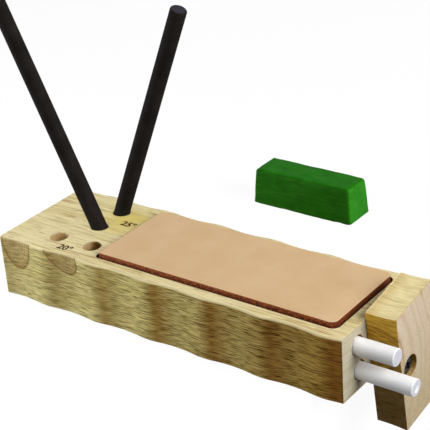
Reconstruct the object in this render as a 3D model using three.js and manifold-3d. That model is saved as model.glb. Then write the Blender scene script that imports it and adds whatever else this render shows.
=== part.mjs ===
// Ceramic rod knife sharpener: a scalloped hardwood block with two pairs of leaning rod sockets,
// a leather strop let into its top, four rod stores bored in from its right end, and an end cover
// that swings on a screw to close them. A bar of green honing compound stands behind it.
// Millimetres, +Z up. The origin is the middle of the block's underside and +X points to the cover.
import * as THREE from 'three';
import { mergeVertices } from 'three/addons/utils/BufferGeometryUtils.js';
import Module from 'manifold-3d';

const wasm = await Module();
wasm.setup();

// Clearances shared by every fit
const seatGap = 0.3;
const cutOverrun = 6;

// Block, with shallow scallops cut across both long sides
const blockLength = 156.2;
const blockWidth = 49.3;
const blockHeight = 25.4;
const scallopPitch = 25.4;
const scallopRise = 0.5;
const crestShare = 0.35;
const firstCrest = 21;
const edgeRound = 1;

// Rods, all of one size
const rodDiameter = 6.4;
const rodLength = 112;
const rodEndRound = 0.7;

// Leaning sockets in the top. The pair along the block is set in from its near side, and the pair
// across it from its far side
const socketStation = 29.9;
const socketClearance = 0.35;
const socketDepth = 14.7;
const lengthwiseSpacing = 16.7;
const lengthwiseInset = 11.05;
const lengthwiseLeanDegrees = 20;
const crosswiseSpacing = 14.1;
const crosswiseInset = 10;
const crosswiseNearLeanDegrees = 24.4;
const crosswiseFarLeanDegrees = 22.7;

// Recess for the strop
const recessStart = 44.6;
const recessEndStrip = 5;
const recessNearStrip = 4.8;
const recessFarStrip = 3.9;
const recessDepth = 1.2;
const recessCorner = 3;
const recessTightCorner = 2;

// Leather strop
const stropThickness = 2.8;
const stropNearGap = 0.8;
const stropFarGap = 0.3;
const stropStartGap = 1.5;
const stropEndGap = 0.9;
const stropCorner = 2.7;
const stropTightCorner = 1;
const stropEdgeRound = 0.3;

// Rod stores, two wide and two high, bored in from the right end and set in from the long sides
const storeClearance = 0.5;
const storeUpperBelowTop = 7.1;
const storeUpperInset = 10.05;
const storeLowerHeight = 7.9;
const storeLowerInset = 11.05;
const upperRodOut = 15.5;
const lowerRodOut = 21.9;

// End cover and the screw that it swings on
const coverThickness = 12.2;
const pivotOffset = -0.5;
const pivotHeight = 6;
const coverTurnDegrees = -81.7;
const headSunk = 1;
const headDiameter = 7.8;
const headHeight = 2.6;
const headDome = 0.9;
const shankDiameter = 4;
const screwGrip = 18;
const screwPoint = 4;
const washerThickness = 0.8;
const counterboreClearance = 0.5;
const driveSpan = 4.4;
const driveSlot = 1.1;
const driveDepth = 1.3;

// Honing compound, cast with draft so that it leaves its mould
const barLength = 49.8;
const barWidth = 16.9;
const barHeight = 15.9;
const barEndDraft = 1.2;
const barSideDraft = 1;
const barCorner = 1.5;
const barEdgeRound = 0.9;
const barPlaceX = -12.8;
const barPlaceY = 98.2;

// Faces round a full turn, and steps along a scallop and a rounded edge
const roundSides = 40;
const stepsPerScallop = 24;
const edgeSteps = 3;

// Places that follow from the sizes above
const blockLeft = -blockLength / 2;
const blockRight = blockLength / 2;
const rodRadius = rodDiameter / 2;
const socketDiameter = rodDiameter + 2 * socketClearance;
const storeDiameter = rodDiameter + 2 * storeClearance;
const storeDepth = rodLength + 2 * seatGap;
const screwHoleDiameter = shankDiameter + 2 * seatGap;
const coverInner = blockRight + seatGap;
const coverOuter = coverInner + coverThickness;
const counterboreDiameter = headDiameter + 2 * counterboreClearance;
const counterboreDepth = headSunk + headHeight + seatGap + washerThickness + seatGap;

const woodColor = 0xd9c491;
const leatherColor = 0xcfac80;
const darkRodColor = 0x2b2526;
const whiteRodColor = 0xe8e8ee;
const screwColor = 0x23242b;
const washerColor = 0x9fa1a3;
const compoundColor = 0x2c7a1c;

// Turns a closed geometry into a solid that can be cut, with its shared vertices merged
function solidOf(geometry) {
  const bare = geometry.clone();
  bare.deleteAttribute('normal');
  bare.deleteAttribute('uv');
  const welded = mergeVertices(bare);
  const corners = welded.index.array;
  const kept = [];
  for (let i = 0; i < corners.length; i += 3) {
    const [a, b, c] = [corners[i], corners[i + 1], corners[i + 2]];
    if (a !== b && b !== c && c !== a) kept.push(a, b, c);
  }
  const vertProperties = new Float32Array(welded.attributes.position.array);
  const triVerts = new Uint32Array(kept);
  return new wasm.Manifold(new wasm.Mesh({ numProp: 3, vertProperties, triVerts }));
}

// Gives a cut solid back as a geometry
function geometryOf(solid) {
  const mesh = solid.getMesh();
  const geometry = new THREE.BufferGeometry();
  geometry.setAttribute('position', new THREE.BufferAttribute(mesh.vertProperties, 3));
  geometry.setIndex(new THREE.BufferAttribute(mesh.triVerts, 1));
  geometry.computeVertexNormals();
  return geometry;
}

// How far both long sides stand out at a station: round crests that meet wider round hollows
function scallopAt(x) {
  const half = scallopPitch / 2;
  const crest = crestShare * half;
  const steepest = (4 * scallopRise) / half;
  const past = THREE.MathUtils.euclideanModulo(x - blockLeft - firstCrest + half, scallopPitch);
  const off = Math.abs(past - half);
  if (off < crest) return scallopRise - (steepest * off ** 2) / (2 * crest);
  return (steepest * (half - off) ** 2) / (2 * (half - crest)) - scallopRise;
}

// Outline of the scalloped bar seen from above, from one station to another, with a straight
// overrun past both for the saw to take off
function scallopedOutline(fromX, toX) {
  const steps = Math.max(2, Math.round(((toX - fromX) / scallopPitch) * stepsPerScallop));
  const stations = Array.from({ length: steps + 1 }, (_, i) => fromX + ((toX - fromX) * i) / steps);
  const side = stations.map((x) => new THREE.Vector2(x, blockWidth / 2 + scallopAt(x)));
  side.unshift(new THREE.Vector2(fromX - cutOverrun, side[0].y));
  side.push(new THREE.Vector2(toX + cutOverrun, side.at(-1).y));
  const near = side.map(({ x, y }) => new THREE.Vector2(x, -y));
  return new THREE.Shape([...near, ...side.reverse()]);
}

// Raises an outline to a height, with its upper and lower edges rounded inside its size
function roundedSlab(outline, height, round, steps) {
  const slab = new THREE.ExtrudeGeometry(outline, {
    depth: height - 2 * round,
    bevelSize: round,
    bevelThickness: round,
    bevelOffset: -round,
    bevelSegments: steps,
    curveSegments: steps,
  });
  return slab.translate(0, 0, round);
}

// Piece of the scalloped bar, sawn square to length. The bar's upper edges are rounded over and
// those of its underside are left square
function makeStock(fromX, toX) {
  const outline = scallopedOutline(fromX, toX);
  const bar = roundedSlab(outline, blockHeight + edgeRound, edgeRound, edgeSteps);
  const planed = solidOf(bar.translate(0, 0, -edgeRound)).trimByPlane([0, 0, 1], 0);
  return planed.trimByPlane([1, 0, 0], fromX).trimByPlane([-1, 0, 0], -toX);
}

// Rectangle with rounded corners, given by its four sides. The near left corner may be tighter
function roundedRectangle({ left, near, right, far }, radius, nearLeftRadius) {
  const outline = new THREE.Shape();
  outline.moveTo(left + nearLeftRadius, near);
  outline.absarc(right - radius, near + radius, radius, -Math.PI / 2, 0);
  outline.absarc(right - radius, far - radius, radius, 0, Math.PI / 2);
  outline.absarc(left + radius, far - radius, radius, Math.PI / 2, Math.PI);
  outline.absarc(left + nearLeftRadius, near + nearLeftRadius, nearLeftRadius, Math.PI, 1.5 * Math.PI);
  return outline;
}

// Drill that cuts down its own -Z from the origin and runs past the surface above it
function drill(diameter, depth) {
  const length = depth + cutOverrun;
  const cutter = new THREE.CylinderGeometry(diameter / 2, diameter / 2, length, roundSides);
  return cutter.rotateX(Math.PI / 2).translate(0, 0, cutOverrun - length / 2);
}

// Drill turned to cut along -X from a place on a face that looks along +X
function endDrill(diameter, depth, x, y, z) {
  return drill(diameter, depth).rotateY(Math.PI / 2).translate(x, y, z);
}

// Frame at a socket's mouth, whose own Z runs up the rod that stands there
function socketFrame({ x, y, heading, lean }) {
  const [turn, tilt] = [heading, lean].map((degrees) => THREE.MathUtils.degToRad(degrees));
  const up = new THREE.Vector3(0, 0, 1);
  const along = new THREE.Vector3(Math.sin(tilt), 0, Math.cos(tilt)).applyAxisAngle(up, turn);
  const frame = new THREE.Group();
  frame.position.set(x, y, blockHeight);
  frame.quaternion.setFromUnitVectors(up, along);
  frame.updateMatrix();
  return frame;
}

// Sockets by name: the pair across the block leans along it, and the pair along it leans across
const socketMiddle = blockLeft + socketStation;
const leftSocketAt = socketMiddle - lengthwiseSpacing / 2;
const rightSocketAt = socketMiddle + lengthwiseSpacing / 2;
const lengthwiseRow = -blockWidth / 2 + lengthwiseInset;
const crosswiseFarRow = blockWidth / 2 - crosswiseInset;
const crosswiseNearRow = crosswiseFarRow - crosswiseSpacing;
const sockets = {
  crosswiseNear: { x: socketMiddle, y: crosswiseNearRow, heading: 180, lean: crosswiseNearLeanDegrees },
  crosswiseFar: { x: socketMiddle, y: crosswiseFarRow, heading: 0, lean: crosswiseFarLeanDegrees },
  lengthwiseLeft: { x: leftSocketAt, y: lengthwiseRow, heading: 90, lean: lengthwiseLeanDegrees },
  lengthwiseRight: { x: rightSocketAt, y: lengthwiseRow, heading: -90, lean: lengthwiseLeanDegrees },
};

// Rod stores by place: upper and lower rows, near and far columns
const upperRow = { y: blockWidth / 2 - storeUpperInset, z: blockHeight - storeUpperBelowTop };
const lowerRow = { y: blockWidth / 2 - storeLowerInset, z: storeLowerHeight };
const stores = {
  nearUpper: { y: -upperRow.y, z: upperRow.z },
  nearLower: { y: -lowerRow.y, z: lowerRow.z },
  farUpper: upperRow,
  farLower: lowerRow,
};

const recessFloor = blockHeight - recessDepth;
const recessSides = {
  left: blockLeft + recessStart,
  near: -blockWidth / 2 + recessNearStrip,
  right: blockRight - recessEndStrip,
  far: blockWidth / 2 - recessFarStrip,
};

// Block with its recess, leaning sockets, rod stores and the screw's pilot hole
function makeBlock() {
  let block = makeStock(blockLeft, blockRight);
  const opening = roundedRectangle(recessSides, recessCorner, recessTightCorner);
  const pocket = new THREE.ExtrudeGeometry(opening, {
    depth: recessDepth + cutOverrun,
    bevelEnabled: false,
    curveSegments: edgeSteps,
  });
  block = block.subtract(solidOf(pocket.translate(0, 0, recessFloor)));
  for (const socket of Object.values(sockets)) {
    const cutter = drill(socketDiameter, socketDepth).applyMatrix4(socketFrame(socket).matrix);
    block = block.subtract(solidOf(cutter));
  }
  for (const store of Object.values(stores)) {
    block = block.subtract(solidOf(endDrill(storeDiameter, storeDepth, blockRight, store.y, store.z)));
  }
  const pilotDepth = screwGrip + screwPoint + seatGap;
  const pilot = endDrill(screwHoleDiameter, pilotDepth, blockRight, pivotOffset, pivotHeight);
  return geometryOf(block.subtract(solidOf(pilot)));
}

// Leather strop, lying in the recess and standing proud of the wood
function makeStrop() {
  const sides = {
    left: recessSides.left + stropStartGap,
    near: recessSides.near + stropNearGap,
    right: recessSides.right - stropEndGap,
    far: recessSides.far - stropFarGap,
  };
  const outline = roundedRectangle(sides, stropCorner, stropTightCorner);
  const strop = roundedSlab(outline, stropThickness, stropEdgeRound, edgeSteps);
  return geometryOf(solidOf(strop.translate(0, 0, recessFloor + seatGap)));
}

// Cover as it stands when shut, cut from the same scalloped bar as the block
function makeCover() {
  let cover = makeStock(coverInner, coverOuter);
  const cuts = [
    [screwHoleDiameter, coverThickness + cutOverrun],
    [counterboreDiameter, counterboreDepth],
  ];
  for (const [diameter, depth] of cuts) {
    cover = cover.subtract(solidOf(endDrill(diameter, depth, coverOuter, pivotOffset, pivotHeight)));
  }
  return geometryOf(cover);
}

// Revolves a profile of (radius, height) points round Z
function revolve(profile) {
  return new THREE.LatheGeometry(profile, roundSides).rotateX(Math.PI / 2);
}

// Rod standing on the origin, with both ends eased
function makeRod() {
  const profile = new THREE.Path();
  profile.moveTo(0, 0);
  profile.lineTo(rodRadius - rodEndRound, 0);
  profile.absarc(rodRadius - rodEndRound, rodEndRound, rodEndRound, -Math.PI / 2, 0);
  profile.lineTo(rodRadius, rodLength - rodEndRound);
  profile.absarc(rodRadius - rodEndRound, rodLength - rodEndRound, rodEndRound, 0, Math.PI / 2);
  profile.lineTo(0, rodLength);
  return geometryOf(solidOf(revolve(profile.getPoints(edgeSteps))));
}

// Screw with a domed head and a cross drive. Its head's seat is at the origin and its point is down
function makeScrew() {
  const neckLength = coverThickness - counterboreDepth + washerThickness + 3 * seatGap;
  const shankLength = neckLength + screwGrip;
  const shankRadius = shankDiameter / 2;
  const headRadius = headDiameter / 2;
  const profile = new THREE.Path();
  profile.moveTo(0, -shankLength - screwPoint);
  profile.lineTo(shankRadius, -shankLength);
  profile.lineTo(shankRadius, 0);
  profile.lineTo(headRadius, 0);
  profile.lineTo(headRadius, headHeight - headDome);
  profile.quadraticCurveTo(headRadius, headHeight, 0, headHeight);
  let screw = solidOf(revolve(profile.getPoints(edgeSteps)));
  for (const turn of [0, Math.PI / 2]) {
    const slot = new THREE.BoxGeometry(driveSpan, driveSlot, driveDepth + cutOverrun);
    slot.rotateZ(turn).translate(0, 0, headHeight - driveDepth / 2 + cutOverrun / 2);
    screw = screw.subtract(solidOf(slot));
  }
  return geometryOf(screw);
}

// Flat washer under the screw's head, with its lower face at the origin
function makeWasher() {
  const hole = shankDiameter / 2 + seatGap;
  const edge = headDiameter / 2;
  const profile = [
    new THREE.Vector2(hole, 0),
    new THREE.Vector2(edge, 0),
    new THREE.Vector2(edge, washerThickness),
    new THREE.Vector2(hole, washerThickness),
    new THREE.Vector2(hole, 0),
  ];
  return geometryOf(solidOf(revolve(profile)));
}

// Bar of compound: rounded on top, sharp round its foot, and drawn in upwards by the mould's draft
function makeCompoundBar() {
  const sides = { left: -barLength / 2, near: -barWidth / 2, right: barLength / 2, far: barWidth / 2 };
  const outline = roundedRectangle(sides, barCorner, barCorner);
  const bar = roundedSlab(outline, barHeight + barEdgeRound, barEdgeRound, edgeSteps);
  bar.translate(0, 0, -barEdgeRound);
  const place = bar.attributes.position;
  for (let i = 0; i < place.count; i += 1) {
    const up = place.getZ(i) / barHeight;
    place.setX(i, place.getX(i) * (1 - (up * barEndDraft) / (barLength / 2)));
    place.setY(i, place.getY(i) * (1 - (up * barSideDraft) / (barWidth / 2)));
  }
  const foot = new THREE.BoxGeometry(barLength + cutOverrun, barWidth + cutOverrun, cutOverrun);
  return geometryOf(solidOf(bar).subtract(solidOf(foot.translate(0, 0, -cutOverrun / 2))));
}

// Names a piece and gives it its own material
function piece(name, geometry, color, roughness, metalness) {
  const material = new THREE.MeshStandardMaterial({ color, roughness, metalness });
  const mesh = new THREE.Mesh(geometry, material);
  mesh.name = name;
  return mesh;
}

const sharpener = new THREE.Group();
sharpener.add(piece('base_block', makeBlock(), woodColor, 0.65, 0));
sharpener.add(piece('leather_strop', makeStrop(), leatherColor, 0.8, 0));

// Cover, turned about its screw as it stands open
const coverHinge = new THREE.Group();
coverHinge.position.set(0, pivotOffset, pivotHeight);
coverHinge.rotation.x = THREE.MathUtils.degToRad(coverTurnDegrees);
const cover = piece('end_cover', makeCover(), woodColor, 0.65, 0);
cover.position.set(0, -pivotOffset, -pivotHeight);
coverHinge.add(cover);
sharpener.add(coverHinge);

// Screw and washer, driven in along -X
const screwSeat = new THREE.Group();
screwSeat.position.set(coverOuter - headSunk - headHeight, pivotOffset, pivotHeight);
screwSeat.rotation.y = Math.PI / 2;
screwSeat.add(piece('pivot_screw', makeScrew(), screwColor, 0.4, 0.8));
const washer = piece('screw_washer', makeWasher(), washerColor, 0.35, 0.9);
washer.position.z = -seatGap - washerThickness;
screwSeat.add(washer);
sharpener.add(screwSeat);

// Dark rods, standing in the crosswise sockets on the sockets' floors
const standing = [
  ['dark_rod_left', sockets.crosswiseNear],
  ['dark_rod_right', sockets.crosswiseFar],
];
for (const [name, socket] of standing) {
  const stand = socketFrame(socket);
  const rod = piece(name, makeRod(), darkRodColor, 0.45, 0);
  rod.position.z = seatGap - socketDepth;
  stand.add(rod);
  sharpener.add(stand);
}

// White rods, lying part of the way out of the near stores
const lying = [
  ['white_rod_upper', stores.nearUpper, upperRodOut],
  ['white_rod_lower', stores.nearLower, lowerRodOut],
];
for (const [name, store, out] of lying) {
  const rod = piece(name, makeRod(), whiteRodColor, 0.35, 0);
  rod.rotation.y = Math.PI / 2;
  rod.position.set(blockRight + out - rodLength, store.y, store.z - storeClearance + seatGap);
  sharpener.add(rod);
}

const bar = piece('compound_bar', makeCompoundBar(), compoundColor, 0.5, 0);
bar.position.set(barPlaceX, barPlaceY, 0);
sharpener.add(bar);

export default sharpener;
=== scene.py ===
# Ceramic rod knife sharpener, dressed for the render: a bare scalloped block of rubberwood with
# leaning ceramic rods, a leather strop, a swung end cover and a bar of green honing wax behind it.
import math

import bmesh
import bpy
from mathutils import Euler, Matrix, Vector, noise


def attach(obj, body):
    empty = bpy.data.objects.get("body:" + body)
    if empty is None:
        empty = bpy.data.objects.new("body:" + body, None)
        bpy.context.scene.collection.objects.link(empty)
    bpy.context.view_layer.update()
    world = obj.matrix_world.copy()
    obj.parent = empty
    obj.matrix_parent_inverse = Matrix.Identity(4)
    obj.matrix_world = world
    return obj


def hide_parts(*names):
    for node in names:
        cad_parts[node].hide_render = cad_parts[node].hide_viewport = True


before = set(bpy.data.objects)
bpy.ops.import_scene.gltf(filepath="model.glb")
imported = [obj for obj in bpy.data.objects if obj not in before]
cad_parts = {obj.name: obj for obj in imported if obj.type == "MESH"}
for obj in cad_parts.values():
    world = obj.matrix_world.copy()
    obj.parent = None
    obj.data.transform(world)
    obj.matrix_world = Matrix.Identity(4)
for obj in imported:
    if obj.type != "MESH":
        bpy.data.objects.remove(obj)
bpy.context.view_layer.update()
print("frame loaded with", len(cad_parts), "nodes")

mm = 0.001  # sizes are in millimetres, and a mesh is brought to metres when it is finished
tiny = 0.001  # measures in millimetres that differ by less are the same but for rounding
over = 5  # a drill runs on this far past what it cuts
sharp = 0.9  # an edge is sharp where its faces meet at more than this, in radians
blend = {"data_type": "RGBA"}  # a mix node lays one colour over another,
tint = {"data_type": "RGBA", "blend_type": "MULTIPLY"}  # or multiplies the two


# An sRGB hex colour as the linear colour that shader sockets take, by the standard's own curve
def linear(hexColour):
    parts = [int(hexColour[i:i + 2], 16) / 255 for i in (1, 3, 5)]
    return [p / 12.92 if p <= 0.04045 else ((p + 0.055) / 1.055) ** 2.4 for p in parts] + [1]


# The linear colours among the settings of a piece
def paintFrom(settings):
    return {name: linear(value) for name, value in settings.items() if str(value).startswith("#")}


# Adds a node. A socket is given a value, an output to link from, or a whole node for the first of its
# outputs in use. A map range takes its value as socket 0, what that runs from and to as 1 and 2, and
# what it becomes as 3 and 4. A mix takes its share as 0, and numbers as 2 and 3, vectors as 4 and 5 or
# colours as 6 and 7
def addNode(tree, kind, sockets={}, **settings):
    node = tree.nodes.new("ShaderNode" + kind)
    for name, value in settings.items():
        setattr(node, name, value)
    for socket, value in sockets.items():
        if isinstance(value, bpy.types.Node):
            value = next(output for output in value.outputs if output.enabled)
        if isinstance(value, bpy.types.NodeSocket):
            tree.links.new(value, node.inputs[socket])
        else:
            node.inputs[socket].default_value = value
    return node


# A new material with an empty tree
def emptyMaterial(name):
    material = bpy.data.materials.new(name)
    material.use_nodes = True
    material.node_tree.nodes.clear()
    return material, material.node_tree


# A new material with the place of a point in millimetres and the way that the surface looks there
def startMaterial(name):
    material, tree = emptyMaterial(name)
    surface = addNode(tree, "TexCoord").outputs
    place = addNode(tree, "Mapping", {"Vector": surface["Object"], "Scale": [1 / mm] * 3})
    return material, tree, place, surface["Normal"]


# Closes a material with its shader and a bump, whose height of 0 to 1 is a depth in millimetres
def finishMaterial(material, sockets, height, depth):
    tree = material.node_tree
    bump = addNode(tree, "Bump", {"Height": height, "Distance": depth * mm, "Strength": 1})
    shader = addNode(tree, "BsdfPrincipled", {**sockets, "Normal": bump})
    addNode(tree, "OutputMaterial", {"Surface": shader})
    return material


# The layers of the wood's figure: fibres of 0.6 by 20 mm, olive streaks of 6 by 60, veins of 0.9 by
# 40, dark lines of 0.8 by 17 and pores of 0.2 by 5.5. Each is a noise drawn out along the grain, given
# as its turns a millimetre along, across and up, and most show only where it is high
woodFigure = {
    "fibre": {"run": "grain", "turns": [0.05, 1.6, 1.6], "detail": 3},
    "olive": {"run": "grain", "turns": [0.016, 0.17, 0.17], "detail": 3, "range": {1: 0.48, 2: 0.68}},
    "vein": {"run": "grain", "turns": [0.025, 1.1, 1.1], "detail": 2, "range": {1: 0.54, 2: 0.68}},
    "line": {"run": "grain", "turns": [0.06, 1.3, 1.3], "detail": 1, "range": {1: 0.61, 2: 0.67}},
    "pore": {"run": "pores", "turns": [0.18, 5, 5], "detail": 1, "range": {1: 0.5, 2: 0.6}},
}
# Where the wood's other masks begin and end: on the way that a face looks, on a place in millimetres
# or on a noise
woodMasks = {
    "longSide": {1: 0.5, 2: 0.85},
    "crossCut": {1: 0.55, 2: 0.85},
    "underside": {1: -0.5, 2: -0.85},
    "turnedRight": {1: -0.02, 2: 0.17},
    "eased": {1: 0.1, 2: 0.42},
    "sandedShut": {1: 0.08, 2: 0.3},
    "leftHalf": {1: -70, 2: -15},
    "rightHalf": {1: -15, 2: 80},
    "flanksDeepen": {1: -70, 2: 0},
    "poresDeepen": {1: -70, 2: 70},
    "acrossEnds": {1: -20, 2: 25},
    "acrossUnderside": {1: -20, 2: 12},
    "late": {1: 0.5, 2: 0.72},
    "endLate": {1: 0.45, 2: 0.62},
    "stain": {1: 1.7, 2: 0.9},
    "markInside": {1: 1.08, 2: 1.02},
    "markRim": {1: 0.9, 2: 1, 4: 0.6},
    "markArc": {1: 0.4, 2: 1},
}


# Rubberwood, planed and sanded and left bare: pale straw with olive streaks along the grain, short
# dark pores that show most on the long sides, and a pinker, plainer end grain
def bareWood(name, wood):
    material, tree, place, normal = startMaterial(name)
    paint = paintFrom(wood)

    # a piece that is swung out of line reads its figure where it lay before
    turn = [math.radians(wood["turnBack"]), 0, 0]
    pivot = Vector(wood["turnAbout"])
    shift = pivot - Euler(turn).to_matrix() @ pivot
    along = addNode(tree, "Mapping", {"Vector": place, "Rotation": turn, "Location": shift})
    facing = addNode(tree, "Mapping", {"Vector": normal, "Rotation": turn}, vector_type="VECTOR")
    station = addNode(tree, "SeparateXYZ", {"Vector": along}).outputs
    face = addNode(tree, "SeparateXYZ", {"Vector": facing}).outputs
    sideFace = addNode(tree, "Math", {0: face["Y"]}, operation="ABSOLUTE")
    endFace = addNode(tree, "Math", {0: face["X"]}, operation="ABSOLUTE")
    easing = addNode(tree, "Math", {0: sideFace, 1: face["Z"]}, operation="MULTIPLY")
    longSide = addNode(tree, "MapRange", {0: sideFace, **woodMasks["longSide"]})
    crossCut = addNode(tree, "MapRange", {0: endFace, **woodMasks["crossCut"]})

    # bored and milled faces are the ones that lie inside a box that stays within the bar
    hollows = []
    for hollow in wood["hollows"]:
        core = {"Vector": along, "Location": hollow["middle"], "Scale": hollow["reach"]}
        within = addNode(tree, "Mapping", core, vector_type="TEXTURE")
        apart = addNode(tree, "VectorMath", {0: within}, operation="ABSOLUTE")
        share = addNode(tree, "SeparateXYZ", {"Vector": apart}).outputs
        wide = addNode(tree, "Math", {0: share["X"], 1: share["Y"]}, operation="MAXIMUM")
        widest = addNode(tree, "Math", {0: wide, 1: share["Z"]}, operation="MAXIMUM")
        hollows.append(addNode(tree, "Math", {0: widest, 1: 1}, operation="LESS_THAN"))
    endGrain = addNode(tree, "Math", {0: crossCut, 1: hollows[0]}, operation="SUBTRACT", use_clamp=True)

    # the grain climbs and swings by a few degrees and wanders by a few millimetres. The pores climb
    # with it and wander less. On the long sides both keep to the surface, so that the scallops don't
    # cut them short
    slow = addNode(tree, "Mapping", {"Vector": along, "Scale": [0.02, 0.05, 0.05]})
    drift = addNode(tree, "TexNoise", {"Vector": slow, "Scale": 1, "Detail": 1}).outputs["Color"]
    keep = addNode(tree, "Mix", {0: longSide, 4: [1, 1, 1], 5: [1, 0.12, 1]}, data_type="VECTOR")
    runs = {}
    for run, slant in wood["slants"].items():
        angles = [math.radians(angle) for angle in slant]
        straight = addNode(tree, "Mapping", {"Vector": along, "Rotation": angles})
        sway = {0: drift, 1: [wood["wander"][run]] * 3, 2: straight}
        wandering = addNode(tree, "VectorMath", sway, operation="MULTIPLY_ADD")
        runs[run] = addNode(tree, "VectorMath", {0: wandering, 1: keep}, operation="MULTIPLY")
    layers, masks = {}, {}
    for layer, look in woodFigure.items():
        drawn = addNode(tree, "Mapping", {"Vector": runs[look["run"]], "Scale": look["turns"]})
        layers[layer] = addNode(tree, "TexNoise", {"Vector": drawn, "Scale": 1, "Detail": look["detail"]})
        if "range" in look:
            shown = {0: layers[layer], **look["range"], 4: wood["shares"].get(layer, 1)}
            masks[layer] = addNode(tree, "MapRange", shown)

    # growth rings about 3 mm apart
    rings = {"Vector": runs["grain"], "Location": wood["heart"], "Scale": [0, 1, 1]}
    radius = addNode(tree, "VectorMath", {0: addNode(tree, "Mapping", rings)}, operation="LENGTH")
    growth = {"W": radius, "Scale": 0.3, "Detail": 3, "Roughness": 0.6}
    ring = addNode(tree, "TexNoise", growth, noise_dimensions="1D")
    masks["late"] = addNode(tree, "MapRange", {0: ring, **woodMasks["late"], 4: wood["shares"]["late"]})

    # the long sides take the figure without its dark lines
    colour = addNode(tree, "Mix", {0: layers["fibre"], 6: paint["straw"], 7: paint["cream"]}, **blend)
    for layer in ("olive", "late", "vein"):
        colour = addNode(tree, "Mix", {0: masks[layer], 6: colour, 7: paint[layer]}, **blend)
    sides = colour
    colour = addNode(tree, "Mix", {0: masks["line"], 6: colour, 7: paint["line"]}, **blend)

    # soft patches of another tint, with rims that the broad streaks break up
    for stain in wood["stains"]:
        spread = {"Vector": along, "Location": stain["middle"], "Scale": stain["reach"]}
        patch = addNode(tree, "Mapping", spread, vector_type="TEXTURE")
        away = addNode(tree, "VectorMath", {0: patch}, operation="LENGTH")
        uneven = {0: layers["olive"], 1: stain["uneven"], 2: away}
        rim = addNode(tree, "Math", uneven, operation="MULTIPLY_ADD")
        part = addNode(tree, "MapRange", {0: rim, **woodMasks["stain"], 4: stain["share"]})
        colour = addNode(tree, "Mix", {0: part, 6: colour, 7: linear(stain["colour"])}, **blend)

    # painted shade: the long sides darken towards the right, and more on the faces that turn that way
    onward = addNode(tree, "MapRange", {0: station["X"], **woodMasks["leftHalf"]})
    further = addNode(tree, "MapRange", {0: station["X"], **woodMasks["rightHalf"]})
    left = addNode(tree, "Mix", {0: onward, 6: paint["sideLeft"], 7: paint["sideMiddle"]}, **blend)
    sideShade = addNode(tree, "Mix", {0: further, 6: left, 7: paint["sideRight"]}, **blend)
    sides = addNode(tree, "Mix", {0: 1, 6: sides, 7: sideShade}, **tint)
    most = addNode(tree, "MapRange", {0: station["X"], **woodMasks["flanksDeepen"], 3: wood["leftFlanks"]})
    flankShade = addNode(tree, "MapRange", {0: face["X"], **woodMasks["turnedRight"], 4: most})
    sides = addNode(tree, "Mix", {0: flankShade, 6: sides, 7: paint["flankShade"]}, **tint)

    # the underside is tinted, with painted shade darkening it towards its far edge; the rounded upper
    # edges take a pale painted highlight; the sawn ends have a tone of their own, and so do the hollows,
    # darkened by painted shade
    lower = addNode(tree, "MapRange", {0: station["Y"], **woodMasks["acrossUnderside"]})
    underTint = addNode(tree, "Mix", {0: lower, 6: paint["underNear"], 7: paint["underFarShade"]}, **blend)
    below = addNode(tree, "MapRange", {0: face["Z"], **woodMasks["underside"]})
    eased = addNode(tree, "MapRange", {0: easing, **woodMasks["eased"], 4: wood["easedShare"]})
    farther = addNode(tree, "MapRange", {0: station["Y"], **woodMasks["acrossEnds"]})
    endTint = addNode(tree, "Mix", {0: farther, 6: paint["endNear"], 7: paint["endFar"]}, **blend)
    endRing = addNode(tree, "MapRange", {0: ring, **woodMasks["endLate"], 4: wood["endRings"]})
    endTint = addNode(tree, "Mix", {0: endRing, 6: endTint, 7: paint["endLate"]}, **blend)
    endShare = addNode(tree, "Math", {0: endGrain, 1: wood["endShare"]}, operation="MULTIPLY")
    for part, shade, way in (
        (longSide, sides, blend), (below, underTint, tint),
        (eased, paint["eased"], blend), (endShare, endTint, blend),
    ):
        colour = addNode(tree, "Mix", {0: part, 6: colour, 7: shade}, **way)
    for hollow, inside in zip(wood["hollows"], hollows):
        part = addNode(tree, "Math", {0: inside, 1: hollow["share"]}, operation="MULTIPLY")
        colour = addNode(tree, "Mix", {0: part, 6: colour, 7: linear(hollow["colour"])}, **blend)

    # heartwood flares and knots: each is an ellipse with a darker rim and arcs inside it
    for mark in wood["marks"]:
        lean = [0, math.radians(mark["lean"]), 0]
        spot = {"Vector": along, "Location": mark["middle"], "Rotation": lean, "Scale": mark["reach"]}
        own = addNode(tree, "Mapping", spot, vector_type="TEXTURE")
        far = addNode(tree, "VectorMath", {0: own}, operation="LENGTH")
        bent = addNode(tree, "Math", {0: layers["fibre"], 1: 0.12, 2: far}, operation="MULTIPLY_ADD")
        inside = addNode(tree, "MapRange", {0: bent, **woodMasks["markInside"]})
        rim = addNode(tree, "MapRange", {0: bent, **woodMasks["markRim"]})
        turns = addNode(tree, "Math", {0: bent, 1: mark["arcs"] * math.tau}, operation="MULTIPLY")
        wave = addNode(tree, "Math", {0: turns}, operation="SINE")
        arcs = {0: wave, **woodMasks["markArc"], 3: mark["fill"], 4: mark["arcShare"]}
        arc = addNode(tree, "MapRange", arcs)
        shade = addNode(tree, "Math", {0: rim, 1: arc}, operation="ADD", use_clamp=True)
        reached = addNode(tree, "Math", {0: inside, 1: shade}, operation="MULTIPLY")
        allowed = addNode(tree, "MapRange", {0: longSide, 3: mark["elsewhere"], 4: mark["share"]})
        part = addNode(tree, "Math", {0: reached, 1: allowed}, operation="MULTIPLY")
        colour = addNode(tree, "Mix", {0: part, 6: colour, 7: linear(mark["colour"])}, **blend)

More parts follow.
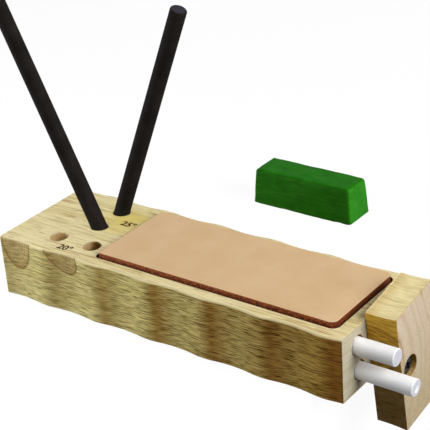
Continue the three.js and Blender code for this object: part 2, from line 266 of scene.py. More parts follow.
    # pores come last: strongest on the long sides, and sanded shut on the rounded edges
    pores = wood["pores"]
    deeper = {0: station["X"], **woodMasks["poresDeepen"], 3: pores["left"], 4: pores["right"]}
    sidePores = addNode(tree, "MapRange", deeper)
    onFace = addNode(tree, "MapRange", {0: longSide, 3: pores["top"], 4: sidePores})
    onAny = addNode(tree, "Mix", {0: endGrain, 2: onFace, 3: pores["end"]})
    leftOpen = addNode(tree, "MapRange", {0: easing, **woodMasks["sandedShut"], 3: 1, 4: 0.1})
    kept = addNode(tree, "Math", {0: onAny, 1: leftOpen}, operation="MULTIPLY")
    poreShare = addNode(tree, "Math", {0: masks["pore"], 1: kept}, operation="MULTIPLY")
    colour = addNode(tree, "Mix", {0: poreShare, 6: colour, 7: paint["pore"]}, **blend)

    sunken = {0: masks["pore"], 1: -0.7, 2: layers["fibre"]}
    relief = addNode(tree, "Math", sunken, operation="MULTIPLY_ADD")
    rough = addNode(tree, "MapRange", {0: masks["pore"], 3: 0.62, 4: 0.8})
    gloss = addNode(tree, "MapRange", {0: masks["pore"], 3: 0.27, 4: 0.02})
    sheen = {"Base Color": colour, "Roughness": rough, "IOR": 1.5, "Specular IOR Level": gloss}
    return finishMaterial(material, sheen, relief, 0.06)


# A new object in the scene
def addObject(name, data):
    thing = bpy.data.objects.new(name, data)
    bpy.context.scene.collection.objects.link(thing)
    return thing


# A bmesh as a new object in the scene
def addShape(name, shape):
    mesh = bpy.data.meshes.new(name)
    shape.to_mesh(mesh)
    shape.free()
    return addObject(name, mesh)


# Brings a millimetre mesh to its place in metres, as a piece that rides on its body
def finishPiece(name, shape, material, body, replaced=None, place=None):
    if place is not None:
        shape.transform(place)
    piece = addShape(name, shape)
    mesh = piece.data
    mesh.transform(Matrix.Scale(mm, 4))
    mesh.materials.append(material)
    mesh.shade_smooth()
    mesh.set_sharp_from_angle(angle=math.radians(35))
    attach(piece, body)
    if replaced:
        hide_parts(replaced)
    print("made", name, "with", len(mesh.polygons), "faces")
    return piece


# Long flat faces keep flat shading, and only the rounded edges between them turn
def evenShading(piece):
    even = piece.modifiers.new("even shading", "WEIGHTED_NORMAL")
    even.keep_sharp = True


# Cuts one solid out of another
def carve(shape, cutter):
    body, tool = addShape("rough", shape), addShape("rough", cutter)
    cut = body.modifiers.new("cut", "BOOLEAN")
    cut.operation = "DIFFERENCE"
    cut.solver = "EXACT"
    cut.object = tool
    carved = body.evaluated_get(bpy.context.evaluated_depsgraph_get())
    result = bmesh.new()
    result.from_mesh(carved.to_mesh())
    carved.to_mesh_clear()
    for solid in (body, tool):
        bpy.data.objects.remove(solid)
    bmesh.ops.remove_doubles(result, verts=result.verts, dist=tiny)
    return result


# A drill that cuts down its own -Z from a place, and runs on above it
def addDrill(cutter, diameter, depth, place):
    bmesh.ops.create_cone(
        cutter, cap_ends=True, segments=72, radius1=diameter / 2, radius2=diameter / 2,
        depth=depth + over, matrix=place @ Matrix.Translation((0, 0, (over - depth) / 2)),
    )


# A place whose own Z looks towards the right end
def facingEnd(x, y, z):
    return Matrix.Translation((x, y, z)) @ Matrix.Rotation(math.radians(90), 4, "Y")


def roundEdges(shape, edges, radius, segments):
    bmesh.ops.bevel(
        shape, geom=edges, offset=radius, offset_type="OFFSET", segments=segments,
        profile=0.5, affect="EDGES", material=-1,
    )


def same(a, b):
    return abs(a - b) < tiny


# A box with its upright corners rounded, each by its own radius where one is given for it
def roundedBox(low, high, radii={"all": 0}, segments=1):
    shape = bmesh.new()
    middle = (Vector(low) + Vector(high)) / 2
    bmesh.ops.create_cube(shape, size=1)
    bmesh.ops.scale(shape, verts=shape.verts, vec=Vector(high) - Vector(low))
    bmesh.ops.translate(shape, verts=shape.verts, vec=middle)
    for radius in sorted(set(radii.values())):
        corners = []
        for edge in shape.edges:
            a, b = (vert.co for vert in edge.verts)
            upright = same(a.x, b.x) and same(a.y, b.y) and not same(a.z, b.z)
            square = (same(a.x, low[0]) or same(a.x, high[0])) and (same(a.y, low[1]) or same(a.y, high[1]))
            corner = ("left" if a.x < middle.x else "right", "near" if a.y < middle.y else "far")
            if upright and square and radii.get(corner, radii["all"]) == radius:
                corners.append(edge)
        if corners and radius > 0:
            roundEdges(shape, corners, radius, segments)
    return shape


# Slices a shape across an axis at an even spacing. The cuts lie a little to one side of the even
# places, by a share of the spacing, so that they miss the vertices that are there
def sliceAcross(shape, axis, start, end, spacing, aside):
    normal = Vector([i == axis for i in range(3)])
    count = round((end - start) / spacing)
    for i in range(1, count):
        spot = normal * (start + (end - start) * (i + aside) / count)
        everything = shape.verts[:] + shape.edges[:] + shape.faces[:]
        bmesh.ops.bisect_plane(shape, geom=everything, dist=1e-5, plane_co=spot, plane_no=normal)


stock = {
    "width": 49.3,
    "height": 25.4,
    "edgeRound": 1,
    "undersideRound": 0.25,
    "endRound": 0.3,
    "rim": 1.5,  # the rounded edges end within this
    "holeEdge": 0.08,
    "scallopPitch": 25.4,
    "scallopRise": 0.5,
    "crestShare": 0.35,  # of the pitch: the crests are narrower than the hollows
    "firstCrest": -57.1,
    "step": 0.7,
    "aside": 0.013,  # of a step
}


# How far the long sides stand out at a station: round crests that meet wider round hollows
def scallopAt(x):
    half = stock["scallopPitch"] / 2
    off = abs((x - stock["firstCrest"] + half) % stock["scallopPitch"] - half)
    crest = half * stock["crestShare"]
    slope = 4 * stock["scallopRise"] / half
    if off < crest:
        return stock["scallopRise"] - slope * off ** 2 / (2 * crest)
    return slope * (half - off) ** 2 / (2 * (half - crest)) - stock["scallopRise"]


# A length of the scalloped stock from one station to another, with holes cut into it
def cutStock(fromX, toX, cutter):
    half, height, rim = stock["width"] / 2, stock["height"], stock["rim"]
    shape = roundedBox((fromX, -half, 0), (toX, half, height))
    for level, radius, segments in ((height, stock["edgeRound"], 4), (0, stock["undersideRound"], 2)):
        rims = [e for e in shape.edges if all(same(v.co.z, level) for v in e.verts)]
        roundEdges(shape, [e for e in rims if same(e.verts[0].co.y, e.verts[1].co.y)], radius, segments)
    sawn = [e for e in shape.edges if same(e.verts[0].co.x, e.verts[1].co.x)]
    sawn = [e for e in sawn if any(same(e.verts[0].co.x, x) for x in (fromX, toX))]
    roundEdges(shape, sawn, stock["endRound"], 2)
    shape = carve(shape, cutter)

    # the mouths of the holes lose their sharp edge to the sandpaper
    mouths = []
    for edge in shape.edges:
        spots = [vert.co for vert in edge.verts]
        inward = all(abs(s.y) < half - rim for s in spots)
        onTop = all(same(s.z, height) and fromX + rim < s.x < toX - rim for s in spots)
        onEnd = all((same(s.x, fromX) or same(s.x, toX)) and rim < s.z < height - rim for s in spots)
        if inward and (onTop or onEnd) and len(edge.link_faces) == 2 and edge.calc_face_angle() > sharp:
            mouths.append(edge)
    roundEdges(shape, mouths, stock["holeEdge"], 2)

    # sliced across so that the long sides can take up the scallops
    sliceAcross(shape, 0, fromX, toX, stock["step"], stock["aside"])
    for vert in shape.verts:
        if abs(vert.co.y) > half - rim:
            vert.co.y *= 1 + scallopAt(vert.co.x) / abs(vert.co.y)
    return shape


block = {
    "left": -78.1,
    "right": 78.1,
    "socketDiameter": 7.1,
    "socketDepth": 14.7,
    "sockets": {  # place of each mouth, and the lean of its rod along X and along Y
        "nearDark": (-48.2, 0.55, -24.4, 0),
        "farDark": (-48.2, 14.65, 22.7, 0),
        "leftEmpty": (-56.55, -13.6, 0, 20),
        "rightEmpty": (-39.85, -13.6, 0, -20),
    },
    "storeDiameter": 7.4,
    "storeDepth": 112.6,
    "stores": [(-14.6, 18.3), (-13.6, 7.9), (14.6, 18.3), (13.6, 7.9)],
    "screwHole": (4.6, -0.5, 6),
    "screwHoleDepth": 22.3,
    "recess": {"low": (-33.5, -19.85, 24.2), "high": (73.1, 20.75, 30)},
    "recessCorners": {"all": 3, ("left", "near"): 2},
}
blockWood = {
    "turnBack": 0,
    "turnAbout": (0, 0, 0),
    "slants": {"grain": (0, 2.2, -1.5), "pores": (0, 2.2, 0)},  # degrees about X, Y and Z
    "wander": {"grain": 4, "pores": 2},
    "heart": (0, 22, 46),  # the rings' middle lies this much nearer and lower than the origin
    "shares": {"olive": 0.4, "late": 0.3, "vein": 0.5, "line": 0.5},
    "straw": "#e5d39a",
    "cream": "#efe2b4",
    "olive": "#cfc07a",
    "late": "#c4a764",
    "vein": "#a8813f",
    "line": "#9c682e",
    # painted shade on the long sides, deeper towards the right and on the faces that turn right
    "sideLeft": "#f5f4d5",
    "sideMiddle": "#fffdd0",
    "sideRight": "#be9a3b",
    "flankShade": "#cba86e",
    "leftFlanks": 0.25,
    # the underside's tint near and far; where the far one is darker it is painted shade
    "underNear": "#ffffff",
    "underFarShade": "#ffffff",
    # painted highlight: the rounded upper edges are paler
    "eased": "#e6d7a6",
    "easedShare": 0.8,
    "endNear": "#aaa699",
    "endFar": "#a8a495",
    "endLate": "#94805c",
    "endShare": 0.8,
    "endRings": 0.35,
    "pore": "#5a3a0a",
    "pores": {"top": 0.12, "left": 0.54, "right": 1, "end": 0.12},
    "hollows": [
        # bored walls: their own darker tone, deepened by painted shade
        {"middle": (0, 0, 12.6), "reach": (77.7, 22.6, 12.3), "share": 0.75, "colour": "#aa7f46"},
        # painted shadow on the recess floor, in the gap round the strop
        {"middle": (20, 0.4, 24.6), "reach": (54, 20.6, 0.8), "share": 0.9, "colour": "#3a200e"},
    ],
    "stains": [
        {"middle": (-42, 9, 25.4), "reach": (12, 13, 6), "uneven": 1.2, "share": 0.85, "colour": "#dfca6c"},
    ],
    "marks": [
        {
            "middle": (-70.5, -24.6, 25.4), "reach": (7.8, 40, 13), "lean": -5, "arcs": 6,
            "fill": 0.46, "arcShare": 0.7, "share": 0.9, "elsewhere": 0, "colour": "#9c7438",
        },
        {
            "middle": (-47.5, -24.6, 25.4), "reach": (6.6, 40, 10.4), "lean": -48, "arcs": 5,
            "fill": 0.46, "arcShare": 0.7, "share": 0.9, "elsewhere": 0, "colour": "#9c7438",
        },
    ],
}


# Frame of a socket's mouth, with Z up the rod that stands in it
def socketFrame(name):
    x, y, leanX, leanY = block["sockets"][name]
    lean = Euler((math.radians(-leanY), math.radians(leanX), 0)).to_matrix().to_4x4()
    return Matrix.Translation((x, y, stock["height"])) @ lean


blockCuts = roundedBox(block["recess"]["low"], block["recess"]["high"], block["recessCorners"], 8)
for name in block["sockets"]:
    addDrill(blockCuts, block["socketDiameter"], block["socketDepth"], socketFrame(name))
for y, z in block["stores"]:
    addDrill(blockCuts, block["storeDiameter"], block["storeDepth"], facingEnd(block["right"], y, z))
screwDiameter, screwY, screwZ = block["screwHole"]
screwMouth = facingEnd(block["right"], screwY, screwZ)
addDrill(blockCuts, screwDiameter, block["screwHoleDepth"], screwMouth)
evenShading(finishPiece(
    "woodBlock", cutStock(block["left"], block["right"], blockCuts),
    bareWood("rubberwood block", blockWood), "block", "base_block",
))

cover = {
    "inner": 78.4,
    "outer": 90.6,
    "turn": -81.7,
    "counterboreDiameter": 8.8,
    "counterboreDepth": 5,
}
coverWood = {
    **blockWood,
    "turnBack": -cover["turn"],
    "turnAbout": (0, screwY, screwZ),
    "heart": (0, 5, 45),
    "shares": {"olive": 0.12, "late": 0.2, "vein": 0.25, "line": 0.5},
    "straw": "#e8d594",
    "cream": "#f2e4b4",
    "sideLeft": "#ffffff",
    "sideMiddle": "#ffffff",
    "sideRight": "#ffffff",
    # a golden underside, darkened by painted shade towards its far edge, which hangs lowest
    "underNear": "#f4d062",
    "underFarShade": "#7a6626",
    "endNear": "#bba99c",
    "endFar": "#928269",
    "endLate": "#96795a",
    "endRings": 0.36,
    "pores": {"top": 0.5, "left": 0.25, "right": 0.25, "end": 0.12},
    "hollows": [
        # bored walls: their own darker tone, deepened by painted shade
        {"middle": (84.5, 0, 12.6), "reach": (5.9, 22.6, 12.3), "share": 0.7, "colour": "#a87838"},
    ],
    "stains": [],
    "marks": [
        {
            "middle": (90.6, -24.5, 17.5), "reach": (1, 1.2, 0.9), "lean": 0, "arcs": 1,
            "fill": 0.5, "arcShare": 0.85, "share": 0.7, "elsewhere": 0.7, "colour": "#a07a3c",
        },
        {
            "middle": (74, -6, 0), "reach": (26, 14, 3), "lean": 0, "arcs": 7,
            "fill": 0.1, "arcShare": 0.8, "share": 0, "elsewhere": 0.6, "colour": "#7a4a12",
        },
    ],
}
coverCuts, counterbore = bmesh.new(), bmesh.new()
coverFace = facingEnd(cover["outer"], screwY, screwZ)
addDrill(coverCuts, screwDiameter, cover["outer"] - cover["inner"] + over, coverFace)
addDrill(counterbore, cover["counterboreDiameter"], cover["counterboreDepth"], coverFace)
coverShape = carve(cutStock(cover["inner"], cover["outer"], coverCuts), counterbore)
hinge = Matrix.Translation((0, screwY, screwZ))
swung = hinge @ Matrix.Rotation(math.radians(cover["turn"]), 4, "X") @ hinge.inverted()
coverLook = bareWood("rubberwood cover", coverWood)
evenShading(finishPiece("endCover", coverShape, coverLook, "cover", "end_cover", swung))

strop = {
    "low": (-32, -19.05, 24.5),
    "high": (72.2, 20.45, 27.3),
    "corners": {"all": 2.7, ("left", "near"): 1},
    "edgeRound": 0.25,
    "face": "#d8b78c",
    "faceDark": "#cfab80",
    "edge": "#a8541c",
    "edgeDark": "#4e1c06",
    "edgeRight": "#451806",
    # painted shade at the foot of the cut edge
    "edgeFootShade": {1: 25.2, 2: 27.2, 3: -0.25, 4: 0.15},  # from its foot to its top, in millimetres
}


# Vegetable tanned cowhide, rolled smooth and cut with a knife, its edges burnished: an even tan
# face with a faint grain of about 0.5 mm, and red brown edges that shine a little
def tannedLeather():
    material, tree, place, normal = startMaterial("vegetable tanned cowhide")
    paint = paintFrom(strop)
    face = addNode(tree, "SeparateXYZ", {"Vector": normal}).outputs
    cloud = addNode(tree, "TexNoise", {"Vector": place, "Scale": 0.08, "Detail": 6})
    clouded = addNode(tree, "MapRange", {0: cloud, 1: 0.25, 2: 0.75})
    top = addNode(tree, "Mix", {0: clouded, 6: paint["face"], 7: paint["faceDark"]}, **blend)

    # the cut edge shows its fibres, painted shade darkens its foot, and it is darker at the right end
    drawn = addNode(tree, "Mapping", {"Vector": place, "Scale": [0.9, 0.9, 1.6]})
    fibre = addNode(tree, "TexNoise", {"Vector": drawn, "Scale": 1, "Detail": 3})
    torn = addNode(tree, "MapRange", {0: fibre, 1: 0.36, 2: 0.64})
    height = addNode(tree, "SeparateXYZ", {"Vector": place}).outputs["Z"]
    lit = addNode(tree, "MapRange", {0: height, **strop["edgeFootShade"]})
    bright = addNode(tree, "Math", {0: torn, 1: lit}, operation="ADD", use_clamp=True)
    edge = addNode(tree, "Mix", {0: bright, 6: paint["edgeDark"], 7: paint["edge"]}, **blend)
    rightward = addNode(tree, "MapRange", {0: face["X"], 1: 0.3, 2: 0.9, 4: 0.7})
    edge = addNode(tree, "Mix", {0: rightward, 6: edge, 7: paint["edgeRight"]}, **blend)
    upward = addNode(tree, "MapRange", {0: face["Z"], 1: 0.5, 2: 0.75})
    colour = addNode(tree, "Mix", {0: upward, 6: edge, 7: top}, **blend)

    pebble = addNode(tree, "TexVoronoi", {"Vector": place, "Scale": 1.8}, feature="DISTANCE_TO_EDGE")
    grain = addNode(tree, "MapRange", {0: pebble, 1: 0, 2: 0.12})
    rough = addNode(tree, "MapRange", {0: cloud, 1: 0.3, 2: 0.7, 3: 0.62, 4: 0.72})
    sheen = {"Base Color": colour, "Roughness": rough, "IOR": 1.5, "Specular IOR Level": 0.25}
    return finishMaterial(material, sheen, grain, 0.015)


stropShape = roundedBox(strop["low"], strop["high"], strop["corners"], 6)
stropRims = [e for e in stropShape.edges if same(e.verts[0].co.z, e.verts[1].co.z)]
roundEdges(stropShape, stropRims, strop["edgeRound"], 3)
evenShading(finishPiece(
    "leatherStrop", stropShape, tannedLeather(), "block", "leather_strop",
))

rod = {
    "diameter": 6.4,
    "length": 112,
    "sunk": 14.4,
    "dimpleDepth": 0.35,
    "dimpleSlope": 0.3,
    "stored": {  # how far each reaches to the right, its place across and up, and its dimple's radius
        "whiteRodUpper": (93.6, -14.6, 18.1, 0),
        "whiteRodLower": (100, -13.6, 7.7, 1.5),
    },
}
rodGrades = {
    "dark": {
        "shade": "#191614", "light": "#272321", "end": "#35333a", "endLooks": "Z", "endRound": 0.72,
        "rough": (0.75, 0.85), "gloss": 0.01,
    },
    "white": {
        # the white rods' ends are greyed with painted shade
        "shade": "#f4f4f6", "light": "#fbfbfb", "end": "#b6b5be", "endLooks": "X", "endRound": 0.4,
        "rough": (0.4, 0.5), "gloss": 0.25,
    },
}


# Alumina with a medium or a fine grit, pressed, fired and ground round: dull and even, with a faint
# speckle and an end of another tone, greyer on the white rods as painted shade. The grit is finer, and is
# drawn at 0.3 mm so that it shows
def firedAlumina(name, grade):
    material, tree, place, normal = startMaterial(name)
    paint = paintFrom(grade)
    speckle = addNode(tree, "TexNoise", {"Vector": place, "Scale": 3.5, "Detail": 2})
    cloud = addNode(tree, "TexNoise", {"Vector": place, "Scale": 0.15, "Detail": 3})
    mixed = addNode(tree, "Math", {0: speckle, 1: cloud}, operation="MULTIPLY")
    share = addNode(tree, "MapRange", {0: mixed, 1: 0.15, 2: 0.38})
    colour = addNode(tree, "Mix", {0: share, 6: paint["shade"], 7: paint["light"]}, **blend)
    # the end takes a tone of its own, which on the white rods is painted shade
    towards = addNode(tree, "SeparateXYZ", {"Vector": normal}).outputs[grade["endLooks"]]
    cut = addNode(tree, "MapRange", {0: towards, 1: 0.75, 2: 0.9})
    colour = addNode(tree, "Mix", {0: cut, 6: colour, 7: paint["end"]}, **blend)
    dull, duller = grade["rough"]
    rough = addNode(tree, "MapRange", {0: cloud, 1: 0.3, 2: 0.7, 3: dull, 4: duller})
    sheen = {"Base Color": colour, "Roughness": rough, "IOR": 1.77, "Specular IOR Level": grade["gloss"]}
    return finishMaterial(material, sheen, speckle, 0.01)


# A solid turned up round Z from its outline, given as radii and heights
def turnUp(outline, steps):
    shape = bmesh.new()
    spots = [shape.verts.new((radius, 0, height)) for radius, height in outline]
    lines = [shape.edges.new(pair) for pair in zip(spots, spots[1:])]
    bmesh.ops.spin(
        shape, geom=spots + lines, cent=(0, 0, 0), axis=(0, 0, 1), dvec=(0, 0, 0),
        angle=math.tau, steps=steps, use_merge=True, use_normal_flip=False, use_duplicate=False,
    )
    bmesh.ops.remove_doubles(shape, verts=shape.verts, dist=tiny)
    bmesh.ops.recalc_face_normals(shape, faces=shape.faces)
    return shape


# A rod standing on the origin with its ends eased. The press leaves a dimple of a given radius in
# some tops
def makeRod(endRound, dimple=0):
    radius, length = rod["diameter"] / 2, rod["length"]
    shape = turnUp([(0, 0), (radius, 0), (radius, length), (0, length)], 64)
    ends = [e for e in shape.edges if len(e.link_faces) == 2 and e.calc_face_angle() > sharp]
    roundEdges(shape, ends, endRound, 4)
    if dimple:
        top = [face for face in shape.faces if all(same(vert.co.z, length) for vert in face.verts)]
        bmesh.ops.inset_region(shape, faces=top, thickness=radius - endRound - dimple)
        bmesh.ops.inset_region(shape, faces=top, thickness=rod["dimpleSlope"], depth=-rod["dimpleDepth"])
    return shape


darkAlumina = firedAlumina("dark fired alumina", rodGrades["dark"])
for name, socket, body, node in (
    ("darkRodLeft", "nearDark", "standing_rod_left", "dark_rod_left"),
    ("darkRodRight", "farDark", "standing_rod_right", "dark_rod_right"),
):
    stand = socketFrame(socket) @ Matrix.Translation((0, 0, -rod["sunk"]))
    shape = makeRod(rodGrades["dark"]["endRound"])
    standing = finishPiece(name, shape, darkAlumina, body, node, stand)
    standing.visible_shadow = False  # the photograph's lamps leave no shadow of them on the wood
    evenShading(standing)
whiteAlumina = firedAlumina("white fired alumina", rodGrades["white"])
for name, body, node in (
    ("whiteRodUpper", "stored_rod_upper", "white_rod_upper"),
    ("whiteRodLower", "stored_rod_lower", "white_rod_lower"),
):
    reach, y, z, dimple = rod["stored"][name]
    lie = facingEnd(reach - rod["length"], y, z)
    shape = makeRod(rodGrades["white"]["endRound"], dimple)
    evenShading(finishPiece(name, shape, whiteAlumina, body, node, lie))

wax = {
    "low": (-37.7, 89.75, 0),
    "high": (12.1, 106.65, 15.9),
    "corner": 1.5,
    "topRound": 1.5,
    "endDraft": 1.2,
    "sideDraft": 1,
    "spacing": (1.6, 1.6, 1.4),
    "aside": 0.017,  # of the spacing
    "skin": 0.02,  # comes off all round, so that the bar stays within its CAD solid
    "dents": {"turns": 0.16, "depth": 0.2},
    "ripples": {"turns": 0.5, "depth": 0.06},
    "topShare": 0.8,  # of the dents and the ripples
    "foot": {"turns": 0.22, "depth": 0.5},
    "green": "#2c8518",
    "deep": "#1d640b",
    "scuff": "#429430",
    # painted shade on the top, and more on the near side
    "topShade": "#bedb92",
    "sideShade": "#cfc09c",
}


# Chromium oxide in hard wax, poured into a mould: an even strong green with cloudy smears, paler
# where it has rubbed and along fine scratches, and a dull sheen
def honingWax():
    material, tree, place, normal = startMaterial("chromium oxide wax")
    paint = paintFrom(wax)
    cloud = addNode(tree, "TexNoise", {"Vector": place, "Scale": 0.12, "Detail": 5, "Distortion": 0.6})
    clouded = addNode(tree, "MapRange", {0: cloud, 1: 0.35, 2: 0.65, 3: 0.25, 4: 0.75})
    colour = addNode(tree, "Mix", {0: clouded, 6: paint["deep"], 7: paint["green"]}, **blend)

    # smears 2 by 8 mm and scratches 0.6 by 20 mm
    smearPlace = {"Vector": place, "Rotation": [0, 0.25, 0.2], "Scale": [0.12, 0.5, 0.7]}
    drawn = addNode(tree, "Mapping", smearPlace)
    smear = addNode(tree, "TexNoise", {"Vector": drawn, "Scale": 1, "Detail": 4})
    rubbed = addNode(tree, "MapRange", {0: smear, 1: 0.56, 2: 0.72, 4: 0.5})
    scratchPlace = {"Vector": place, "Rotation": [0, 0.06, 0], "Scale": [0.05, 1.5, 1.9]}
    drawn = addNode(tree, "Mapping", scratchPlace)
    scratch = addNode(tree, "TexNoise", {"Vector": drawn, "Scale": 1, "Detail": 2})
    scratched = addNode(tree, "MapRange", {0: scratch, 1: 0.57, 2: 0.65, 4: 0.4})
    for share in (rubbed, scratched):
        colour = addNode(tree, "Mix", {0: share, 6: colour, 7: paint["scuff"]}, **blend)

    # painted shade tints the top, and the near side more
    face = addNode(tree, "SeparateXYZ", {"Vector": normal}).outputs
    above = addNode(tree, "MapRange", {0: face["Z"], 1: 0.35, 2: 0.85})
    beside = addNode(tree, "MapRange", {0: face["Y"], 1: -0.25, 2: -0.75})
    colour = addNode(tree, "Mix", {0: above, 6: colour, 7: paint["topShade"]}, **tint)
    colour = addNode(tree, "Mix", {0: beside, 6: colour, 7: paint["sideShade"]}, **tint)
    rough = addNode(tree, "MapRange", {0: smear, 1: 0.3, 2: 0.7, 3: 0.42, 4: 0.6})
    sheen = {"Base Color": colour, "Roughness": rough, "IOR": 1.45, "Specular IOR Level": 0.04}
    return finishMaterial(material, sheen, cloud, 0.25)


waxTop = wax["high"][2]
waxShape = roundedBox(wax["low"], wax["high"], {"all": wax["corner"]}, 5)
topEdges = [e for e in waxShape.edges if all(same(v.co.z, waxTop) for v in e.verts)]
roundEdges(waxShape, topEdges, wax["topRound"], 4)
for axis, spacing in enumerate(wax["spacing"]):
    sliceAcross(waxShape, axis, wax["low"][axis], wax["high"][axis], spacing, wax["aside"])

# drawn in to a draft and dented, with a foot that isn't quite flat
waxMiddle = (Vector(wax["low"]) + Vector(wax["high"])) / 2
waxHalf = (Vector(wax["high"]) - Vector(wax["low"])) / 2
dents, ripples, foot = wax["dents"], wax["ripples"], wax["foot"]
for vert in waxShape.verts:
    up = vert.co.z / waxTop
    dent = max(0, noise.noise(vert.co * dents["turns"])) * dents["depth"]
    dent += abs(noise.noise(vert.co * ripples["turns"])) * ripples["depth"]
    inward = wax["skin"] + dent
    for axis, draft in ((0, wax["endDraft"]), (1, wax["sideDraft"])):
        off = vert.co[axis] - waxMiddle[axis]
        vert.co[axis] = waxMiddle[axis] + off * (1 - (up * draft + inward) / waxHalf[axis])
    if up > 0.5:
        vert.co.z -= wax["skin"] + dent * wax["topShare"]
    elif up < 0.01:
        vert.co.z += max(0, noise.noise(vert.co * foot["turns"])) * foot["depth"]
finishPiece("waxBar", waxShape, honingWax(), "compound", "compound_bar")

screw = {
    "seat": 87,
    "turn": 20,
    "headDiameter": 7.8,
    "headHeight": 2.6,
    "dome": [(1, 0.55), (0.93, 0.78), (0.75, 0.92), (0.4, 1), (0, 1)],  # shares of its radius and height
    "shankDiameter": 4,
    "shankLength": 26.9,
    "neckLength": 1,  # from the core to the shank
    "coreDiameter": 2.8,
    "pointLength": 4,
    "threadPitch": 1.8,
    "threadLength": 17,
    "threadSteps": 24,  # in a turn
    "ridgeHalf": 0.45,
    "ridgeSunk": 0.1,  # the ridge's foot lies this far inside the core
    "ridgeShort": 0.02,  # and its crest this far short of the shank
    "driveSpan": 4.4,
    "driveSlot": 1.1,
    "driveDepth": 1.3,
    "driveOver": 2,  # the cutter runs on this far above the head
    "driveTaper": 0.55,
    "steel": "#26272e",
    "worn": "#5b5d66",
}


# Carbon steel, rolled and blackened in a hot bath: blue black and half bright, and paler where a
# driver has rubbed it
def blackenedSteel():
    material, tree, place, _ = startMaterial("blackened carbon steel")
    paint = paintFrom(screw)
    fleck = addNode(tree, "TexNoise", {"Vector": place, "Scale": 1.2, "Detail": 4})
    rubbed = addNode(tree, "MapRange", {0: fleck, 1: 0.55, 2: 0.75, 4: 0.6})
    colour = addNode(tree, "Mix", {0: rubbed, 6: paint["steel"], 7: paint["worn"]}, **blend)
    rough = addNode(tree, "MapRange", {0: fleck, 3: 0.3, 4: 0.5})
    return finishMaterial(material, {"Base Color": colour, "Metallic": 1, "Roughness": rough}, fleck, 0.02)


# The screw with its seat at the origin and its head up Z
def makeScrew():
    head, core, shank = screw["headDiameter"] / 2, screw["coreDiameter"] / 2, screw["shankDiameter"] / 2
    top, tip = screw["headHeight"], -screw["shankLength"]
    threadEnd = tip + screw["threadLength"]
    shaft = [(0, tip - screw["pointLength"]), (core, tip), (core, threadEnd)]
    shaft += [(shank, threadEnd + screw["neckLength"]), (shank, 0), (head, 0)]
    shape = turnUp(shaft + [(head * out, top * up) for out, up in screw["dome"]], 48)

    # cross drive, drawn in towards its floor as a driver's tip is
    half = Vector((screw["driveSpan"] / 2, screw["driveSlot"] / 2))
    for turn in (0, 90):
        low = (-half.x, -half.y, top - screw["driveDepth"])
        drive = roundedBox(low, (half.x, half.y, top + screw["driveOver"]))
        for vert in drive.verts:
            if vert.co.z < top:
                vert.co.x *= screw["driveTaper"]
        quarter = Matrix.Rotation(math.radians(turn), 3, "Z")
        bmesh.ops.rotate(drive, verts=drive.verts, cent=(0, 0, 0), matrix=quarter)
        shape = carve(shape, drive)

    # the thread is one ridge, wound up the core
    inside, outside, rise = core - screw["ridgeSunk"], shank - screw["ridgeShort"], screw["ridgeHalf"]
    spots = ((inside, 0, tip - rise), (outside, 0, tip), (inside, 0, tip + rise))
    ridge = shape.faces.new([shape.verts.new(spot) for spot in spots])
    turns = screw["threadLength"] / screw["threadPitch"]
    bmesh.ops.spin(
        shape, geom=[ridge] + ridge.edges[:] + ridge.verts[:], cent=(0, 0, 0), axis=(0, 0, 1),
        dvec=(0, 0, screw["threadPitch"] / screw["threadSteps"]), angle=math.tau * turns,
        steps=round(screw["threadSteps"] * turns),
        use_merge=False, use_normal_flip=False, use_duplicate=False,
    )
    return shape


driven = facingEnd(screw["seat"], screwY, screwZ) @ Matrix.Rotation(math.radians(screw["turn"]), 4, "Z")
finishPiece("crossScrew", makeScrew(), blackenedSteel(), "block", "pivot_screw", driven)

zinc = {"grey": "#8f9193", "bright": "#b9bbbd"}


# Mild steel, stamped and zinc plated: pale grey with a fine bright grain
def zincPlate():
    material, tree, place, _ = startMaterial("zinc plated steel")
    paint = paintFrom(zinc)
    grain = addNode(tree, "TexNoise", {"Vector": place, "Scale": 2.5, "Detail": 3})
    colour = addNode(tree, "Mix", {0: grain, 6: paint["grey"], 7: paint["bright"]}, **blend)
    rough = addNode(tree, "MapRange", {0: grain, 3: 0.28, 4: 0.42})
    return finishMaterial(material, {"Base Color": colour, "Metallic": 1, "Roughness": rough}, grain, 0.01)


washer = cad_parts["screw_washer"]
washer.data.materials.clear()
washer.data.materials.append(zincPlate())
print("plated the washer")

angleMarks = {
    "size": 4.7,
    "proud": 0.02,
    "bolder": 0.15,
    "marks": {"angleMarkNear": ("20°", -48.3, -19.8), "angleMarkFar": ("25°", -38.9, 7.3)},
    "burnt": "#2c1608",
    "scorch": "#4a2a12",
}


# Wood burnt by a hot stamp: flat black brown that pales where the stamp bit less
def burntWood():
    material, tree, place, _ = startMaterial("stamp burnt wood")
    paint = paintFrom(angleMarks)
    bite = addNode(tree, "TexNoise", {"Vector": place, "Scale": 1.5, "Detail": 3})
    colour = addNode(tree, "Mix", {0: bite, 6: paint["burnt"], 7: paint["scorch"]}, **blend)
    sheen = {"Base Color": colour, "Roughness": 0.85, "IOR": 1.5, "Specular IOR Level": 0.2}
    return finishMaterial(material, sheen, bite, 0.02)


burntLook = burntWood()
for name, (words, x, y) in angleMarks["marks"].items():
    text = bpy.data.curves.new(name, "FONT")
    text.body = words
    text.size = angleMarks["size"]
    text.align_x = "CENTER"
    text.align_y = "CENTER"
    text.extrude = angleMarks["proud"]
    text.offset = angleMarks["bolder"]
    text.resolution_u = 6
    writing = addObject(name, text)
    letters = bmesh.new()
    letters.from_mesh(writing.evaluated_get(bpy.context.evaluated_depsgraph_get()).to_mesh())
    bpy.data.objects.remove(writing)
    bmesh.ops.remove_doubles(letters, verts=letters.verts, dist=tiny / 2)
    onTop = Matrix.Translation((x, y, stock["height"]))
    finishPiece(name, letters, burntLook, "block", place=onTop)

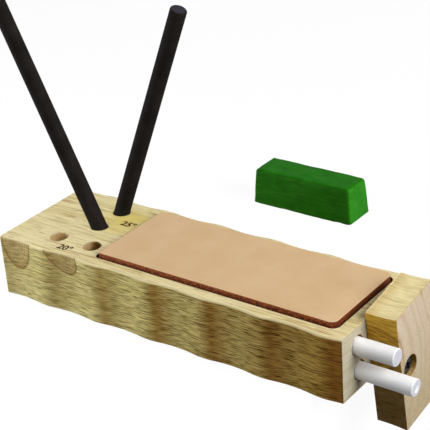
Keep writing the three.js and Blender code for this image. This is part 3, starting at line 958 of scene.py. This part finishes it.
stage = {
    "tableEnd": 66,  # the open cover hangs down past it
    "tableDrop": 60,
    "tableGap": 0.03,  # the table lies this far below the block, so that the two don't flicker
    "floorDepth": 20,
    "reach": 1500,
    "white": 0.94,
    "shade": 0.07,
    "paper": "#5c5c5c",
    "sky": 0.17,
}


# 1 on the rays that the camera sees by, straight, mirrored or through, and 0 on those that only light
def seenRays(tree):
    ray = addNode(tree, "LightPath").outputs
    seen = addNode(tree, "Math", {0: ray["Is Camera Ray"], 1: ray["Is Glossy Ray"]}, operation="MAXIMUM")
    return addNode(tree, "Math", {0: seen, 1: ray["Is Transmission Ray"]}, operation="MAXIMUM")


# White card: straight to white for the camera and in reflections, less what falls in shadow, and
# grey paper to the light that bounces off it
def whiteCard():
    material, tree = emptyMaterial("white card")
    plain = addNode(tree, "BsdfDiffuse", {"Color": linear(stage["paper"])})
    shaded = addNode(tree, "BsdfDiffuse", {"Color": [stage["shade"]] * 3 + [1]})
    glow = addNode(tree, "Emission", {"Strength": stage["white"]})
    bright = addNode(tree, "AddShader", {0: shaded, 1: glow})
    mixed = addNode(tree, "MixShader", {0: seenRays(tree), 1: plain, 2: bright})
    addNode(tree, "OutputMaterial", {"Surface": mixed})
    return material


card = whiteCard()
far, tableDrop = stage["reach"], stage["tableDrop"]
for name, low, high in (
    ("table", (-far, -far, -tableDrop), (stage["tableEnd"], far, -stage["tableGap"])),
    ("floor", (-far, -far, -tableDrop - stage["floorDepth"]), (far, far, -tableDrop)),
):
    ground = addShape(name, roundedBox(low, high))
    ground.data.transform(Matrix.Scale(mm, 4))
    ground.data.materials.append(card)

# a softbox on the right, a weak one in front, and a small one low at the left that rakes the scallops
lights = {
    "rightSoftbox": {"at": (850, 60, 500), "size": 700, "watts": 12.1, "colour": (1, 1, 1)},
    "frontSoftbox": {"at": (-50, -520, 760), "size": 600, "watts": 1.5, "colour": (1, 1, 1)},
    "leftStrip": {"at": (-300, -120, 60), "size": 160, "watts": 1, "colour": (0.92, 1, 1.1)},
}
for name, lamp in lights.items():
    softbox = bpy.data.lights.new(name, "AREA")
    softbox.shape = "DISK"
    softbox.size = lamp["size"] * mm
    softbox.energy = lamp["watts"]
    softbox.color = lamp["colour"]
    holder = addObject(name, softbox)
    holder.location = Vector(lamp["at"]) * mm
    holder.rotation_mode = "QUATERNION"
    holder.rotation_quaternion = Vector(lamp["at"]).to_track_quat("Z", "Y")

# a sky that looks white and lights only a little
world = bpy.data.worlds.new("studio")
bpy.context.scene.world = world
world.use_nodes = True
sky = world.node_tree
sky.nodes.clear()
strength = addNode(sky, "MapRange", {0: seenRays(sky), 3: stage["sky"], 4: 1})
background = addNode(sky, "Background", {"Color": [1, 1, 1, 1], "Strength": strength})
addNode(sky, "OutputWorld", {"Surface": background})

# camera solved from the block's edges in the photograph
view = {
    "target": (10.2, 0, 44.7),
    "azimuth": 37.87,
    "elevation": 26.48,
    "roll": -4.29,
    "away": 500.7,
    "lens": 115.28,
    "sensor": 36,
    "clip": (0.01, 10),  # in metres
}
turnZ, lift, roll = (math.radians(view[name]) for name in ("azimuth", "elevation", "roll"))
back = Vector((math.sin(turnZ) * math.cos(lift), -math.cos(turnZ) * math.cos(lift), math.sin(lift)))
level = Vector((math.cos(turnZ), math.sin(turnZ), 0))
upright = back.cross(level)
across = level * math.cos(roll) + upright * math.sin(roll)
upward = upright * math.cos(roll) - level * math.sin(roll)
camera = addObject("camera", bpy.data.cameras.new("camera"))
camera.data.sensor_width = view["sensor"]
camera.data.lens = view["lens"]
camera.data.clip_start, camera.data.clip_end = view["clip"]
camera.rotation_mode = "QUATERNION"
camera.rotation_quaternion = Matrix((across, upward, back)).transposed().to_quaternion()
camera.location = (Vector(view["target"]) + back * view["away"]) * mm
bpy.context.scene.camera = camera
bpy.context.scene.view_settings.view_transform = "Standard"
print("stage, light and camera set")
